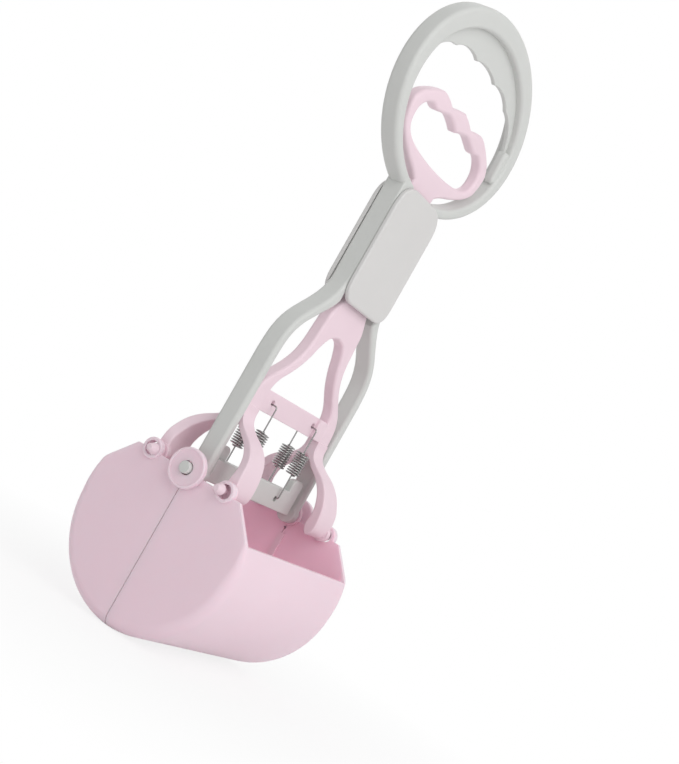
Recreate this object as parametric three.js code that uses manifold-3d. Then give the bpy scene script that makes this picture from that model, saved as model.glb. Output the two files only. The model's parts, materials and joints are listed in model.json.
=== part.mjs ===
// A hand-held pet waste scooper with sprung jaws: an oval ring grip on a two-armed frame, a trigger that
// slides in the frame's neck, four extension springs, and two bucket halves that hinge on the frame.
// Lengths are in millimetres. The pivot axis of the bucket halves is Y and passes through the origin of
// the inner group, Z points up along the handle, and X is the way the halves open.
import * as THREE from "three";
import { mergeVertices } from "three/addons/utils/BufferGeometryUtils.js";
import Module from "manifold-3d";

const wasm = await Module();
wasm.setup();

// Fits
const FIT = 0.3; // gap between neighbouring pieces
const RUN = 0.4; // gap round a turning pin
const LAP = 0.5; // depth that joined shapes run into one another

// Bucket halves
const BUCKET_R = 37.5; // curved wall, outside
const BUCKET_DROP = 25.5; // centre of the curve below the pivot
const BUCKET_HALF = 44.3; // pivot axis direction, middle to outer face
const WALL = 2; // wall thickness
const BUCKET_EDGE = 4.5; // rounding where the curved wall meets the side walls
const LIP_Z = -12.8; // top of the curved wall
const SIDE_Z = -1; // top of the side walls
const SIDE_X = 24.5; // corner of the side walls
const DISC_R = 7.6; // hub disc outside each hinge
const DISC_OUT = 2.9; // its outer face, proud of the side wall
const DISC_DISH = 0.5; // depth of its dished face
const DISC_RIM = 1; // its raised rim
const TAB_R = 4.8; // hub tab inside each hinge
const TAB_T = 1.5;
const NOTCH_R = 0.7; // relief at the top of each seam
const NOTCH_Z = -6;
const EAR_X = 17.6; // ear hole from the pivot, across
const EAR_Z = -0.3;
const EAR_R = 4.2;
const EAR_HOLE_R = 2.75;
const EAR_OUT = 1.3; // ear face, proud of the side wall

// Ring grip
const FRAME_HALF = 4; // half thickness of ring, neck and arms
const ROUND = 1.2; // rounding along their edges
const RING_Z = 167;
const RING_A = 55; // half width
const RING_B = 39.5; // half height
const RIM_SIDE = 7.2; // thick rim, at the sides
const RIM_TOP = 8.3;
const RIM_BOTTOM = 4.2;
const WEB_HALF = 1; // half thickness of the thin web inside the rim
const WEB_SIDE = 0.6; // narrowest part of the web
const GRIP_DROP = 7; // widest part of the web's opening, below the ring's centre
const GRIP_TOP = 27.6; // reach of the opening above that
const GRIP_POWER = 3.3; // squareness of the upper half of the opening
const GRIP_WAVE = 2.3; // depth of the finger waves
const CREST_Y = 11.2; // first crest between finger waves, from the middle
const CREST_STEP = 19.8; // from one crest to the next
const PAD_LENGTH = 16.4;
const PAD_WIDTH = 8;
const PAD_HALF = 3.2; // half thickness
const PAD_PROUD = 7.2; // how far a pad stands in from the rim
const PAD_DROP = 0.8; // its middle below the rim's
const PAD_LEAN = 0.05; // radians

// Neck and arms
const NECK_HALF = 18.5; // half width
const SLOT_HALF = 10.4; // half width of the slot that guides the trigger
const SLOT_LOW = 94; // where the slot starts to widen
const MOUTH_HALF = 16; // half width of its mouth
const MOUTH_TOP = 89;
const MOUTH_Z = 80;
const ARM_T = 4; // thickness of the arms
const ARM_BEND_Z = 50; // where their straight part ends
const SHOULDER_TOP = 92; // where the neck starts to spread
const HUB_R = 4.2; // rounded lower end of an arm
const PIN_R = 2.3;
const PIN_PROUD = 1.3; // pin's end beyond the hub disc
const PLATE_HALF = 2.5; // cross plate, half thickness
const PLATE_TOP = 7.9;
const PLATE_LOW = -1.3;
const PLATE_FILLET = 1.2;
const LUG_TOP = 14.2; // lug at each end of the plate
const LUG_WIDTH = 7.3;
const LUG_R = 3;
const LUG_GAP = 3.4; // groove between a lug and its arm
const CORE_HALF = 1; // half thickness of the plate in the groove
const HOOK_INSET = 8.6; // spring holes from the inner side of the trigger's fork
const HOOK_R = 1.2;
const PLATE_HOOK_Z = 3;
// The arms' shoulders, from the neck to the straight part: shares of the way [out, down]
const SHOULDER_OUT_SHARES = [[0, 0], [0.005, 0.06], [0.033, 0.143], [0.112, 0.238], [0.29, 0.352],
  [0.5, 0.457], [0.71, 0.564], [0.869, 0.681], [0.963, 0.821], [1, 1]];
const SHOULDER_IN_SHARES = [[0, 0], [0.133, 0.107], [0.333, 0.227], [0.533, 0.347], [0.733, 0.473],
  [0.886, 0.617], [0.971, 0.783], [1, 1]];

// Cover plates
const COVER_HALF = 18.8; // half width
const COVER_LOW = 81.5;
const COVER_TOP = 131.5;
const COVER_T = 1.6;
const COVER_ROUND = 0.7;
const COVER_R_LOW = 8;
const COVER_R_TOP = 11;
const PEG_Y = 14.5;
const PEG_ZS = [99, 124];
const PEG_R = 1.5;
const PEG_LENGTH = 2.4;

// Trigger
const TRAVEL = 9.8; // how far it is pulled up
const TRIGGER_HALF = 2.6; // half thickness
const TRIGGER_ROUND = 1.1;
const LOOP_GAP = 0.9; // loop's side to the pads
const LOOP_ROOM = 7.2; // loop's top to the web when it is pulled
const FORK_TOP = 88; // where the stem starts to spread
const FORK_GAP = 0.6; // fork to the arms
const FORK_WIDTH = 9;
const FORK_FOOT = 36; // lower end of the fork's opening
const CROTCH_Z = 68.3;
const LEG_TOP = 31;
const LEG_FOOT = -5;
const LEG_GAP = 0.7; // leg to the bucket's side wall
const LEG_TAPER = 2; // narrowing of a leg on its inner side
const ROOT_Z = 27; // lower end of the fork's arms
const BAR_TOP = 38.8; // cross bar
const BAR_LOW = 30.4;
const BAR_HALF = 1.2; // half thickness
const BAR_HOOK_Z = 35;
const BLOCK_STEP = 1.6; // from a hook to the block beside it
const STUB_X = 16.18; // hinge stubs on the legs
const STUB_Z = -0.28;
const STUB_R = 1.2;
const HEAD_R = 2; // their heads, outside the ears
const STUB_END = 47.6;
// Loop, from its top round to the stem: shares of its half width and of its height
const LOOP_OUT_SHARES = [[0, 1], [0.126, 0.97], [0.264, 0.928], [0.403, 0.961], [0.541, 0.978],
  [0.678, 0.934], [0.818, 0.865], [0.932, 0.788], [1, 0.672], [0.972, 0.501], [0.919, 0.402], [0.781, 0.3],
  [0.579, 0.209], [0.378, 0.135], [0.267, 0.072]];
const LOOP_HOLE_SHARES = [[0, 0.76], [0.116, 0.802], [0.264, 0.829], [0.413, 0.793], [0.529, 0.763],
  [0.645, 0.782], [0.756, 0.741], [0.836, 0.656], [0.854, 0.551], [0.821, 0.457], [0.73, 0.391],
  [0.579, 0.347], [0.378, 0.322], [0.176, 0.309], [0, 0.306]];
// Fork, outside from the stem to the legs, and inside from bar to crotch: shares of the way [out, along]
const FORK_OUT_SHARES = [[0, 0], [0.023, 0.088], [0.176, 0.219], [0.211, 0.316], [0.25, 0.456],
  [0.332, 0.561], [0.48, 0.649], [0.67, 0.728], [0.859, 0.807], [0.969, 0.895], [1, 1]];
const FORK_IN_SHARES = [[1, 0], [0.962, 0.139], [0.876, 0.248], [0.726, 0.365], [0.579, 0.495],
  [0.451, 0.65], [0.357, 0.805], [0.218, 0.947], [0, 1]];
// Leg in the X-Z plane, outside then back up the inside: shares of the stub's distance and leg's height
const LEG_SHARES = [
  [0.161, 1], [0.167, 0.91], [0.229, 0.806], [0.408, 0.719], [0.729, 0.616], [0.964, 0.49],
  [1.106, 0.323], [1.162, 0.145], [1.162, 0.006], [1.1, -0.071], [1.001, -0.103], [0.896, -0.071],
  [0.859, 0.006], [0.89, 0.135], [0.884, 0.258], [0.779, 0.419], [0.581, 0.548], [0.297, 0.658],
  [0.148, 0.729], [0, 0.781],
];
// Leg's edges seen along X, from its top to its foot: shares of the way [out, down]
const LEG_IN_SHARES = [[0, 0], [0, 0.42], [0.4, 0.64], [1, 1]];
const LEG_OUT_SHARES = [[0, 0], [0, 0.24], [0.27, 0.39], [0.667, 0.556], [1, 0.708], [1, 1]];

// Places that follow from these sizes
const RIM_A = RING_A - RIM_SIDE;
const RIM_B = RING_B - (RIM_TOP + RIM_BOTTOM) / 2;
const RIM_Z = RING_Z - (RIM_TOP - RIM_BOTTOM) / 2;
const GRIP_A = RIM_A - WEB_SIDE;
const GRIP_Z = RING_Z - GRIP_DROP;
const GRIP_BOTTOM = GRIP_Z - RIM_Z + RIM_B;
const NECK_TOP = RIM_Z - RIM_B - LAP;
const ARM_OUT = BUCKET_HALF - WALL - FIT - TAB_T - FIT; // outer face of the arms, beside the hub tabs
const ARM_IN = ARM_OUT - ARM_T;
const PIN_END = BUCKET_HALF + DISC_OUT + PIN_PROUD;
const COVER_FACE = FRAME_HALF + FIT; // inner face of a cover
const STEM_HALF = SLOT_HALF - RUN;
const LOOP_A = RIM_A - PAD_PROUD - LOOP_GAP;
const LOOP_FOOT = RIM_Z - RIM_B + FIT;
const LOOP_TOP = GRIP_Z + GRIP_TOP - GRIP_WAVE - TRAVEL - LOOP_ROOM;
const FORK_OUT = ARM_IN - FORK_GAP;
const FORK_IN = FORK_OUT - FORK_WIDTH;
const HOOK_Y = FORK_IN - HOOK_INSET;
const BLOCK_Y = HOOK_Y + BLOCK_STEP;
const LEG_OUT = BUCKET_HALF - WALL - LEG_GAP;

// Springs
const SPRING_X = 3.75; // coil axis
const WIRE_R = 0.3;
const COIL_R = 2.55; // to the wire's middle
const COIL_LOW = 14.2;
const COIL_PITCH = 1.08;
const COIL_TURNS = 9;
const COIL_STEPS = 8; // steps in a turn
const HALF_TURN = 0.5;
const WIRE_SIDES = 5;
const BAR_TIP = 0.75; // wire's end, from the middle plane
const PLATE_TIP = 1.2;
const HOOK_BEND = 0.9;
const BEND_SHARE = 0.3; // where the bend's corner is cut off
const HOOK_SEAT = 0.55; // wire's place in a hook hole, off its centre

// Facets
const FINE = 72; // points round the ring and the curved walls
const MEDIUM = 28;
const SMALL = 14;
const DRUM_RINGS = 3; // steps in the bucket's rounded edge
const CORNER = 5; // steps in a rounded corner
const SPLINE = 2; // steps between two given points
const CHECKS = 4; // places between two steps where the wire's gap is measured

const X = new THREE.Vector3(1, 0, 0);
const Y = new THREE.Vector3(0, 1, 0);
const Z = new THREE.Vector3(0, 0, 1);

/** Turns a closed geometry into a solid that can be joined and cut. */
function solidOf(geometry) {
  geometry.deleteAttribute("normal");
  geometry.deleteAttribute("uv");
  const merged = mergeVertices(geometry);
  return new wasm.Manifold(new wasm.Mesh({
    numProp: 3,
    vertProperties: new Float32Array(merged.attributes.position.array),
    triVerts: new Uint32Array(merged.index.array),
  }));
}

/** Turns a solid back into a geometry. */
function geometryOf(solid) {
  const { numProp, vertProperties, triVerts } = solid.getMesh();
  const geometry = new THREE.BufferGeometry();
  const points = [];
  for (let i = 0; i < vertProperties.length; i += numProp) {
    points.push(vertProperties[i], vertProperties[i + 1], vertProperties[i + 2]);
  }
  geometry.setAttribute("position", new THREE.Float32BufferAttribute(points, 3));
  geometry.setIndex(Array.from(triVerts));
  geometry.computeVertexNormals();
  return geometry;
}

const join = (...solids) => solids.reduce((a, b) => a.add(b));
const cut = (solid, ...tools) => tools.reduce((a, b) => a.subtract(b), solid);

/** Extrudes a shape along an axis from one place to another, with its edges rounded by `round` in that
 *  many rings. Along "x" the shape lies in Y-Z, and along "y" it lies in X-Z. */
function slab(shape, axis, from, to, round = 0, curve = MEDIUM / 2, rings = 1) {
  const start = axis === "y" ? -to : from;
  const geometry = new THREE.ExtrudeGeometry(shape, {
    depth: to - from - round - round, steps: 1, curveSegments: curve, bevelEnabled: round > 0,
    bevelThickness: round, bevelSize: round, bevelOffset: -round, bevelSegments: rings,
  });
  geometry.translate(0, 0, start + round);
  const basis = new THREE.Matrix4();
  if (axis === "x") basis.makeBasis(Y, Z, X);
  if (axis === "y") basis.makeBasis(X, Z, Y.clone().negate());
  return solidOf(geometry.applyMatrix4(basis));
}

/** A cylinder along Y or X, given by its centre in the other two directions. */
function rod(axis, u, v, radius, from, to, sides = SMALL, round = 0) {
  const shape = new THREE.Shape();
  shape.absarc(u, v, radius, 0, Math.PI + Math.PI);
  return slab(shape, axis, from, to, round, sides / 2);
}

function box(x0, x1, y0, y1, z0, z1) {
  const geometry = new THREE.BoxGeometry(x1 - x0, y1 - y0, z1 - z0);
  geometry.translate((x0 + x1) / 2, (y0 + y1) / 2, (z0 + z1) / 2);
  return solidOf(geometry);
}

const vectors = (points) => points.map(([u, v]) => new THREE.Vector2(u, v));
/** A shape through the given points, always counter-clockwise, as a shape with holes has to be. */
function polygon(points) {
  const list = vectors(points);
  return new THREE.Shape(THREE.ShapeUtils.isClockWise(list) ? list.reverse() : list);
}
const mirrored = (points) => points.map(([u, v]) => [-u, v]).reverse();
/** Points from one place towards another: each pair of shares says how far along either direction. */
const between = ([u, v], [toU, toV], shares) =>
  shares.map(([a, b]) => [u + a * (toU - u), v + b * (toV - v)]);

/** A smooth line through the given points, as a list of points. */
function smooth(points, steps = SPLINE) {
  const curve = new THREE.SplineCurve(vectors(points));
  return curve.getPoints((points.length - 1) * steps).map((p) => [p.x, p.y]);
}

/** An outline with each corner rounded by its own radius: [u, v, radius]. */
function rounded(corners) {
  const shape = new THREE.Shape();
  corners.forEach(([u, v, r], i) => {
    const corner = new THREE.Vector2(u, v);
    const [before, after] = [corners.at(i - 1), corners[(i + 1) % corners.length]].map(
      ([a, b]) => new THREE.Vector2(a, b).sub(corner).normalize().multiplyScalar(r).add(corner));
    if (i === 0) shape.moveTo(before.x, before.y);
    else shape.lineTo(before.x, before.y);
    if (r > 0) shape.quadraticCurveTo(u, v, after.x, after.y);
  });
  return shape;
}

/** A cylinder round Y with rounded edges, centred below the pivot. */
function drum(radius, half, round) {
  const profile = [new THREE.Vector2(0, -half)];
  for (const [sign, turn] of [[-1, -1], [1, 0]]) {
    for (let i = 0; i <= DRUM_RINGS; i++) {
      const a = (turn + i / DRUM_RINGS) * Math.PI / 2;
      profile.push(new THREE.Vector2(radius - round + round * Math.cos(a),
        sign * (half - round) + round * Math.sin(a)));
    }
  }
  profile.push(new THREE.Vector2(0, half));
  const geometry = new THREE.LatheGeometry(profile, FINE);
  geometry.translate(0, 0, -BUCKET_DROP);
  return solidOf(geometry);
}

// Frame

function ringSolid() {
  const shape = new THREE.Shape();
  shape.absellipse(0, RING_Z, RING_A, RING_B, 0, Math.PI + Math.PI);
  const hole = new THREE.Path();
  hole.absellipse(0, RIM_Z, RIM_A, RIM_B, 0, Math.PI + Math.PI, true);
  shape.holes.push(hole);
  return slab(shape, "x", -FRAME_HALF, FRAME_HALF, ROUND, FINE / 2, 2);
}

/** The web's opening: a squarish upper half with finger waves, and an elliptic lower half. */
function gripOutline() {
  const points = [];
  const count = FINE + MEDIUM;
  for (let i = 0; i < count; i++) {
    const t = 2 * Math.PI * i / count;
    const upper = Math.sin(t) > 0;
    const power = upper ? 2 / GRIP_POWER : 1;
    const y = GRIP_A * Math.sign(Math.cos(t)) * Math.abs(Math.cos(t)) ** power;
    const reach = upper ? GRIP_TOP : -GRIP_BOTTOM;
    const z = GRIP_Z + reach * Math.abs(Math.sin(t)) ** power;
    const out = Math.abs(y);
    const phase = out < CREST_Y ? out / CREST_Y / 2 : 1 / 2 + (out - CREST_Y) / CREST_STEP;
    const crest = Math.abs(Math.cos(Math.PI * phase));
    const wave = upper ? GRIP_WAVE * (1 - Math.sqrt(crest)) * Math.sin(t) : 0;
    const inward = new THREE.Vector2(-y, GRIP_Z - z).normalize().multiplyScalar(wave);
    points.push([y + inward.x, z + inward.y]);
  }
  return points;
}

function webSolid() {
  const shape = new THREE.Shape();
  shape.absellipse(0, RIM_Z, RIM_A + ROUND, RIM_B + ROUND, 0, Math.PI + Math.PI);
  return cut(slab(shape, "x", -WEB_HALF, WEB_HALF, 0, FINE / 2),
    slab(polygon(gripOutline()), "x", -FRAME_HALF, FRAME_HALF, 0));
}

/** One side of the neck with its arm, down to the pivot. */
function sideSolid(side) {
  const half = [
    [SLOT_HALF, NECK_TOP], [SLOT_HALF, SLOT_LOW], [MOUTH_HALF, MOUTH_TOP],
    ...smooth(between([MOUTH_HALF, MOUTH_Z], [ARM_IN, ARM_BEND_Z], SHOULDER_IN_SHARES)),
    [ARM_IN, 0], [ARM_OUT, 0],
    ...smooth(between([NECK_HALF, SHOULDER_TOP], [ARM_OUT, ARM_BEND_Z], SHOULDER_OUT_SHARES)).reverse(),
    [NECK_HALF, NECK_TOP],
  ];
  return slab(polygon(side > 0 ? half : mirrored(half)), "x", -FRAME_HALF, FRAME_HALF, ROUND);
}

const sideSpan = (side, from, to) => (side > 0 ? [from, to] : [-to, -from]);

/** The cross plate: a rounded lug at each end, and a thinner core that joins it to the arms. */
function plateSolid() {
  const end = ARM_IN - LUG_GAP;
  const lug = end - LUG_WIDTH;
  const outline = rounded([[-end, PLATE_LOW, ROUND], [end, PLATE_LOW, ROUND], [end, LUG_TOP, LUG_R],
    [lug, LUG_TOP, LUG_R], [lug, PLATE_TOP, PLATE_FILLET], [-lug, PLATE_TOP, PLATE_FILLET],
    [-lug, LUG_TOP, LUG_R], [-end, LUG_TOP, LUG_R]]);
  const core = box(-CORE_HALF, CORE_HALF, -ARM_IN - LAP, ARM_IN + LAP, PLATE_LOW + LAP, PLATE_TOP - LAP);
  const plate = join(slab(outline, "x", -PLATE_HALF, PLATE_HALF, LAP, CORNER), core);
  return cut(plate, ...[-1, 1].map((side) =>
    rod("x", side * HOOK_Y, PLATE_HOOK_Z, HOOK_R, -FRAME_HALF, FRAME_HALF, SMALL)));
}

function frameSolid() {
  let solid = join(ringSolid(), webSolid());
  const slotTop = NECK_TOP + ROUND + ROUND;
  solid = cut(solid, box(-RING_A, RING_A, -SLOT_HALF, SLOT_HALF, NECK_TOP - RING_B, slotTop));
  const corner = ROUND + ROUND;
  const pad = rounded([[-PAD_WIDTH / 2, -PAD_LENGTH / 2, corner], [PAD_WIDTH / 2, -PAD_LENGTH / 2, corner],
    [PAD_WIDTH / 2, PAD_LENGTH / 2, corner], [-PAD_WIDTH / 2, PAD_LENGTH / 2, corner]]);
  for (const side of [-1, 1]) {
    const padSolid = slab(pad, "x", -PAD_HALF, PAD_HALF, ROUND, CORNER)
      .rotate([side * THREE.MathUtils.radToDeg(PAD_LEAN), 0, 0])
      .translate([0, side * (RIM_A - PAD_PROUD + PAD_WIDTH / 2), RIM_Z - PAD_DROP]);
    solid = join(solid, padSolid, sideSolid(side),
      rod("y", 0, 0, HUB_R, ...sideSpan(side, ARM_IN, ARM_OUT), MEDIUM, LAP),
      rod("y", 0, 0, PIN_R, ...sideSpan(side, ARM_OUT - ARM_T / 2, PIN_END), MEDIUM, LAP));
    for (const z of PEG_ZS) {
      solid = cut(solid, rod("x", side * PEG_Y, z, PEG_R + FIT, -RING_A, RING_A));
    }
  }
  return join(solid, plateSolid());
}

// Cover plate: a soft-edged plate with two pairs of pegs that enter the neck. It lies on the +X face.

function coverSolid() {
  const outline = rounded([[-COVER_HALF, COVER_LOW, COVER_R_LOW], [COVER_HALF, COVER_LOW, COVER_R_LOW],
    [COVER_HALF, COVER_TOP, COVER_R_TOP], [-COVER_HALF, COVER_TOP, COVER_R_TOP]]);
  let solid = slab(outline, "x", COVER_FACE - COVER_ROUND, COVER_FACE + COVER_T, COVER_ROUND, CORNER + 2, 2);
  solid = cut(solid, box(-RING_A, COVER_FACE, -RING_A, RING_A, 0, RING_Z));
  for (const y of [-PEG_Y, PEG_Y]) {
    for (const z of PEG_ZS) {
      solid = join(solid, rod("x", y, z, PEG_R, COVER_FACE - PEG_LENGTH, COVER_FACE + COVER_T / 2, SMALL));
    }
  }
  return solid;
}

// Trigger

function legSolid(side) {
  const half = smooth(between([0, 0], [STUB_X, LEG_TOP], LEG_SHARES));
  const profile = polygon([...half, ...mirrored(half).slice(1)]);
  const inner = between([FORK_IN, LEG_TOP], [FORK_IN + LEG_TAPER, LEG_FOOT], LEG_IN_SHARES);
  const outer = between([FORK_OUT, LEG_TOP], [LEG_OUT, LEG_FOOT], LEG_OUT_SHARES);
  const edges = [...smooth(inner), ...smooth(outer).reverse()];
  return slab(profile, "y", ...sideSpan(side, FORK_IN, LEG_OUT), 0)
    .intersect(slab(polygon(side > 0 ? edges : mirrored(edges)), "x", -BUCKET_R, BUCKET_R, 0));
}

/** A hinge stub: a pin through the ear with a wider head outside it. */
function stubSolid(side, face) {
  const out = BUCKET_HALF + EAR_OUT + FIT;
  const [x, z] = [face * STUB_X, STUB_Z];
  return join(rod("y", x, z, STUB_R, ...sideSpan(side, LEG_OUT - WALL, STUB_END - LAP), SMALL),
    rod("y", x, z, HEAD_R, ...sideSpan(side, out, STUB_END), MEDIUM, LAP));
}

function triggerSolid() {
  const foot = [0, LOOP_FOOT];
  const top = [LOOP_A, LOOP_TOP];
  const outline = [...smooth(between(foot, top, LOOP_OUT_SHARES), SPLINE + 1), [STEM_HALF, LOOP_FOOT],
    ...smooth(between([STEM_HALF, FORK_TOP], [FORK_OUT, LEG_TOP], FORK_OUT_SHARES)),
    [FORK_OUT, ROOT_Z], [FORK_IN, ROOT_Z],
    ...smooth(between([0, FORK_FOOT], [FORK_IN, CROTCH_Z], FORK_IN_SHARES))];
  const shape = polygon([...outline, ...mirrored(outline.slice(0, -1)).slice(0, -1)]);
  const hole = smooth(between(foot, top, LOOP_HOLE_SHARES), SPLINE + 1);
  shape.holes.push(new THREE.Path(vectors([...hole, ...mirrored(hole).slice(1, -1)])));
  let solid = slab(shape, "x", -TRIGGER_HALF, TRIGGER_HALF, TRIGGER_ROUND);
  const end = FORK_IN + LAP;
  solid = join(solid, box(-BAR_HALF, BAR_HALF, -end, end, BAR_LOW, BAR_TOP),
    box(0, TRIGGER_HALF, BLOCK_Y, end, BAR_LOW, BAR_TOP),
    box(-TRIGGER_HALF, 0, -end, -BLOCK_Y, BAR_LOW, BAR_TOP));
  for (const side of [-1, 1]) {
    solid = join(solid, legSolid(side), stubSolid(side, -1), stubSolid(side, 1));
    solid = cut(solid, rod("x", side * HOOK_Y, BAR_HOOK_Z, HOOK_R, -FRAME_HALF, FRAME_HALF, SMALL));
  }
  return solid;
}

// Bucket half on the -X side. The other half is the same piece turned half way round Z.

function jawSolid() {
  const top = BUCKET_R; // anything well above the side walls
  const lipX = Math.sqrt(BUCKET_R ** 2 - (LIP_Z + BUCKET_DROP) ** 2);
  const seam = FIT / 2;
  const floor = -BUCKET_DROP - BUCKET_R - WALL;
  const outline = polygon([[-seam, SIDE_Z], [-SIDE_X, SIDE_Z], [-lipX, LIP_Z], [-BUCKET_R - WALL, LIP_Z],
    [-BUCKET_R - WALL, floor], [-seam, floor]]);
  const inside = BUCKET_HALF - WALL;
  const sides = (from, to) => slab(outline, "y", from, to);
  let solid = drum(BUCKET_R, BUCKET_HALF, BUCKET_EDGE).intersect(sides(-BUCKET_HALF, BUCKET_HALF));
  solid = cut(solid, drum(BUCKET_R - WALL, inside, WALL),
    box(-BUCKET_R - WALL, WALL, -inside, inside, LIP_Z, top));
  // Ears
  for (const side of [-1, 1]) {
    const ear = sideSpan(side, inside, BUCKET_HALF + EAR_OUT);
    const hole = sideSpan(side, inside - WALL, BUCKET_HALF + WALL + WALL);
    solid = join(solid, rod("y", -EAR_X, EAR_Z, EAR_R, ...ear, MEDIUM, LAP));
    solid = cut(solid, rod("y", -EAR_X, EAR_Z, EAR_HOLE_R, ...hole, MEDIUM));
  }
  // Dished hub disc outside, on the -Y side
  const outer = BUCKET_HALF + DISC_OUT;
  let disc = rod("y", 0, 0, DISC_R, -outer, -BUCKET_HALF - FIT, FINE / 2, LAP);
  disc = cut(disc, rod("y", 0, 0, DISC_R - DISC_RIM, -outer - DISC_DISH, -outer + DISC_DISH, FINE / 2));
  const discPad = rod("y", 0, 0, DISC_R - LAP, -BUCKET_HALF - LAP, -BUCKET_HALF + LAP, MEDIUM)
    .intersect(sides(-BUCKET_HALF - LAP, -BUCKET_HALF + LAP));
  // Flat hub tab inside, on the +Y side
  const tab = rod("y", 0, 0, TAB_R, inside - FIT - TAB_T, inside - FIT, MEDIUM, 0);
  const tabPad = rod("y", 0, 0, TAB_R - LAP, inside - LAP, inside + LAP, MEDIUM)
    .intersect(sides(inside - LAP, inside + LAP));
  solid = join(solid, disc, discPad, tab, tabPad);
  return cut(solid, rod("y", 0, 0, PIN_R + RUN, -outer - WALL, outer + WALL, MEDIUM),
    rod("y", 0, NOTCH_Z, NOTCH_R, -BUCKET_HALF - FIT, BUCKET_HALF + FIT, SMALL));
}

// Springs: one wire each, from the hook in the frame's plate to the hook in the trigger's bar.

/** A path that an extrusion follows point by point. */
class WirePath extends THREE.Curve {
  constructor(points) {
    super();
    this.points = points;
  }
  getPoint(t) {
    const place = Math.min(Math.max(t, 0), 1) * (this.points.length - 1);
    const i = Math.min(Math.floor(place), this.points.length - 2);
    return this.points[i].clone().lerp(this.points[i + 1], place - i);
  }
  getPointAt(u) {
    return this.getPoint(u);
  }
  getTangentAt(u) {
    return this.getTangent(u);
  }
}

function springPoints() {
  const points = [];
  const add = (x, y, z) => points.push(new THREE.Vector3(x, y, z));
  const hook = (tip, z, up) => {
    const bend = up * HOOK_BEND;
    const corner = [SPRING_X - HOOK_BEND * BEND_SHARE, z + bend * BEND_SHARE];
    return [[tip, z], [SPRING_X - HOOK_BEND, z], corner, [SPRING_X, z + bend]];
  };
  const low = PLATE_HOOK_Z + HOOK_SEAT;
  const high = BAR_HOOK_Z - HOOK_SEAT;
  for (const [x, z] of hook(PLATE_TIP, low, 1)) add(x, 0, z);
  // the wire leaves the axis in half a turn, winds, and comes back in half a turn
  const steps = Math.round((COIL_TURNS + HALF_TURN + HALF_TURN) * COIL_STEPS);
  const easing = HALF_TURN * COIL_STEPS;
  add(SPRING_X, 0, COIL_LOW - HALF_TURN * COIL_PITCH - HOOK_BEND);
  for (let i = 0; i <= steps; i++) {
    const a = 2 * Math.PI * (i - easing) / COIL_STEPS;
    const r = COIL_R * Math.min(1, (i + 1) / (easing + 1), (steps - i + 1) / (easing + 1));
    add(SPRING_X + r * Math.cos(a), r * Math.sin(a), COIL_LOW + COIL_PITCH * (i - easing) / COIL_STEPS);
  }
  add(SPRING_X, 0, COIL_LOW + COIL_PITCH * (COIL_TURNS + HALF_TURN) + HOOK_BEND);
  for (const [x, z] of hook(BAR_TIP, high, -1).reverse()) add(x, 0, z);
  return points;
}

/** The least gap between stretches of the wire that are at least half a turn apart. */
function leastGap(points) {
  let least = Infinity;
  const path = new WirePath(points);
  const fine = path.getPoints((points.length - 1) * CHECKS);
  const apart = COIL_STEPS * CHECKS * HALF_TURN;
  for (let i = 0; i < fine.length; i++) {
    for (let j = i + apart; j < fine.length; j++) least = Math.min(least, fine[i].distanceTo(fine[j]));
  }
  return least - WIRE_R - WIRE_R;
}

function springGeometry(points) {
  const section = new THREE.Shape();
  for (let i = 0; i < WIRE_SIDES; i++) {
    const a = 2 * Math.PI * i / WIRE_SIDES;
    if (i === 0) section.moveTo(WIRE_R * Math.cos(a), WIRE_R * Math.sin(a));
    else section.lineTo(WIRE_R * Math.cos(a), WIRE_R * Math.sin(a));
  }
  const geometry = new THREE.ExtrudeGeometry(section, {
    steps: points.length - 1, curveSegments: 1, bevelEnabled: false, extrudePath: new WirePath(points),
  });
  return geometryOf(solidOf(geometry));
}

// Materials

const plastic = (color, roughness) => new THREE.MeshStandardMaterial({ color, roughness, metalness: 0 });
const FRAME_GREY = plastic(0xcfcfcb, 0.45);
const COVER_GREY = plastic(0xd6d5d2, 0.5);
const PINK = plastic(0xe6c8d3, 0.4);
const PALE_PINK = plastic(0xecd0da, 0.42);
const STEEL = new THREE.MeshStandardMaterial({ color: 0xb4b6b8, roughness: 0.3, metalness: 1 });

function piece(name, geometry, material) {
  const mesh = new THREE.Mesh(geometry, material);
  mesh.name = name;
  return mesh;
}

const mechanism = new THREE.Group();
mechanism.position.z = BUCKET_DROP + BUCKET_R;

mechanism.add(piece("frame", geometryOf(frameSolid()), FRAME_GREY));
const cover = geometryOf(coverSolid());
mechanism.add(piece("cover_front", cover, COVER_GREY));
const coverBack = piece("cover_back", cover, COVER_GREY.clone());
coverBack.rotation.z = Math.PI;
mechanism.add(coverBack);

mechanism.add(piece("trigger", geometryOf(triggerSolid()), PALE_PINK));

const jaw = geometryOf(jawSolid());
mechanism.add(piece("jaw_left", jaw, PINK));
const jawRight = piece("jaw_right", jaw, PINK.clone());
jawRight.rotation.z = Math.PI;
mechanism.add(jawRight);

const wire = springPoints();
console.log("spring wire: least gap to itself", leastGap(wire).toFixed(2), "mm");
const spring = springGeometry(wire);
for (const [place, turn] of [["front", 0], ["back", Math.PI]]) {
  for (const side of [-1, 1]) {
    const mesh = piece(`spring_${place}_${side < 0 ? "near" : "far"}`, spring, STEEL.clone());
    mesh.position.y = side * HOOK_Y;
    mesh.rotation.z = turn;
    mechanism.add(mesh);
  }
}

const scooper = new THREE.Group();
scooper.add(mechanism);

export default scooper;
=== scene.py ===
import json
import math

import bmesh
import bpy
import numpy as np
from bpy.props import (FloatProperty, FloatVectorProperty, IntProperty,
                       PointerProperty)
from mathutils import Matrix, Vector
from mathutils.geometry import tessellate_polygon


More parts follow.
